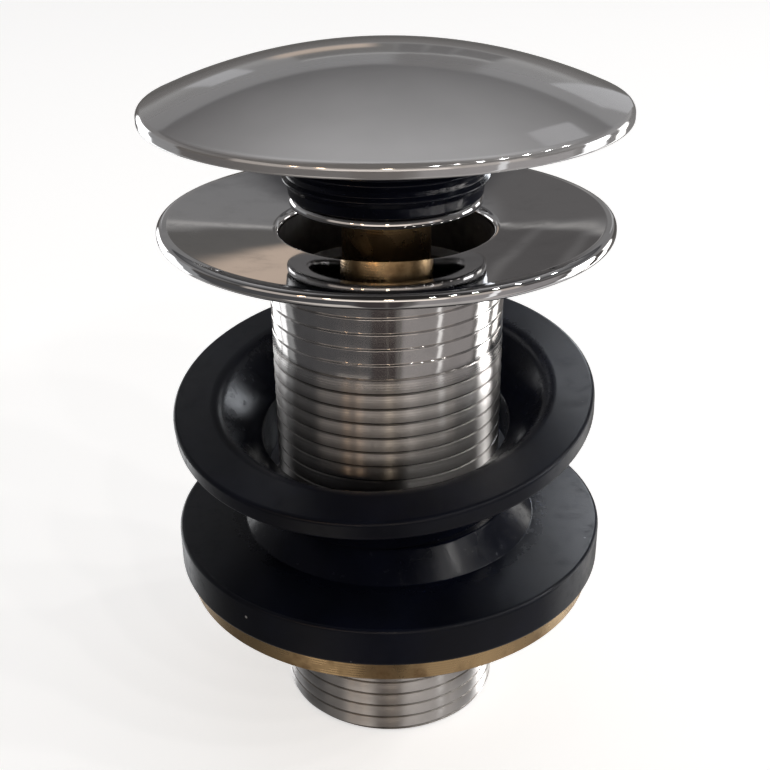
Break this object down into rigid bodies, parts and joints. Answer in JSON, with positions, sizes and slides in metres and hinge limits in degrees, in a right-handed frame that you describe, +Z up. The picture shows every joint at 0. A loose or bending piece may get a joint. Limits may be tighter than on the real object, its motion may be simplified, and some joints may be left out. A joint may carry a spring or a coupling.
{
  "type": "sprung plug basin waste",
  "caption": "Flanged, threaded basin waste with a domed plug that is pressed shut and springs open, tapered rubber washers and a thin backnut on the tail.",
  "frame": {"origin": "centre of the flange's underside, where it seats on the basin", "axes": "+Z up along the waste's axis, out of the basin; -Y towards the picture's camera"},
  "size_m": [0.0656, 0.0656, 0.1011],
  "materials": {
    "bright_plate": "polished plating over cast brass",
    "cap_plate": "polished grey plating",
    "black_rubber": "moulded black rubber, satin",
    "raw_brass": "turned, unplated and a little dull",
    "steel": "plain steel"
  },
  "bodies": {
    "waste": {"waste_body": "bright_plate", "cartridge_core": "raw_brass", "lock_washer": "steel", "cartridge_nut": "raw_brass", "return_spring": "steel"},
    "plug": {"plug_cap": "cap_plate", "plug_seal": "black_rubber", "seal_carrier": "bright_plate", "plug_stem": "raw_brass", "stem_collar": "raw_brass"},
    "index": {"index_ring": "raw_brass", "index_ball": "steel"},
    "washers": {"lower_washer": "black_rubber", "upper_washer": "black_rubber"},
    "nut": {"backnut": "raw_brass"}
  },
  "joints": [
    {"name": "plug_press", "type": "slide", "parent": "waste", "child": "plug", "axis": [0, 0, 1], "range_m": [-0.0123, 0], "stiffness_N_per_m": 500, "springref_m": 0.012, "deforming": ["return_spring"]},
    {"name": "index_turn", "type": "hinge", "parent": "plug", "child": "index", "pos_m": [0, 0, -0.01961], "axis": [0, 0, 1], "range_deg": [0, 90]},
    {"name": "washer_slide", "type": "slide", "parent": "waste", "child": "washers", "axis": [0, 0, 1], "range_m": [-0.0175, 0.0183]},
    {"name": "nut_turn", "type": "hinge", "parent": "washers", "child": "nut", "pos_m": [0, 0, -0.0545], "axis": [0, 0, 1], "range_deg": [-2850, 2970]}
  ],
  "couplings": [
    {"joint": "index_turn", "follows": "plug_press", "rad_per_m": -116.36},
    {"joint": "washer_slide", "follows": "nut_turn", "m_per_rad": 0.00035157}
  ]
}
